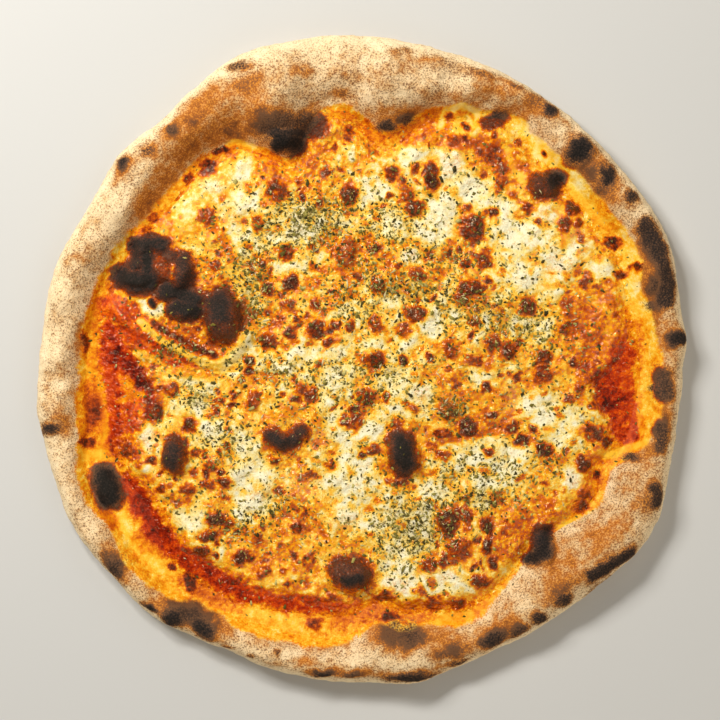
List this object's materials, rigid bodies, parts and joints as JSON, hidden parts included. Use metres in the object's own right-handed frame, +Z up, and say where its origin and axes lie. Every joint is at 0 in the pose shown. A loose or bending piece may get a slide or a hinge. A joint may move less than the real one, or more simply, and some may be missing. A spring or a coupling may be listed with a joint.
{
  "type": "margherita pizza",
  "caption": "Round baked pizza with a puffed, charred rim, tomato sauce, browned melted cheese and dried oregano, lying flat.",
  "frame": {"origin": "on the surface it rests on, under the middle of its outline's box", "axes": "+Z up, out of the topped side; seen from above as in the picture, +X to the picture's right and +Y to its top"},
  "size_m": [0.3198, 0.3194, 0.0258],
  "materials": {
    "crust": "floury baked dough, matte, with browned and charred spots",
    "tomato_sauce": "wet, oily tomato sauce",
    "cheese": "melted cheese with an oily sheen and browned blisters",
    "oregano": "dried crushed herb"
  },
  "bodies": {
    "root": {"crust": "crust", "tomato_sauce": "tomato_sauce", "melted_cheese": "cheese"}
  },
  "joints": []
}
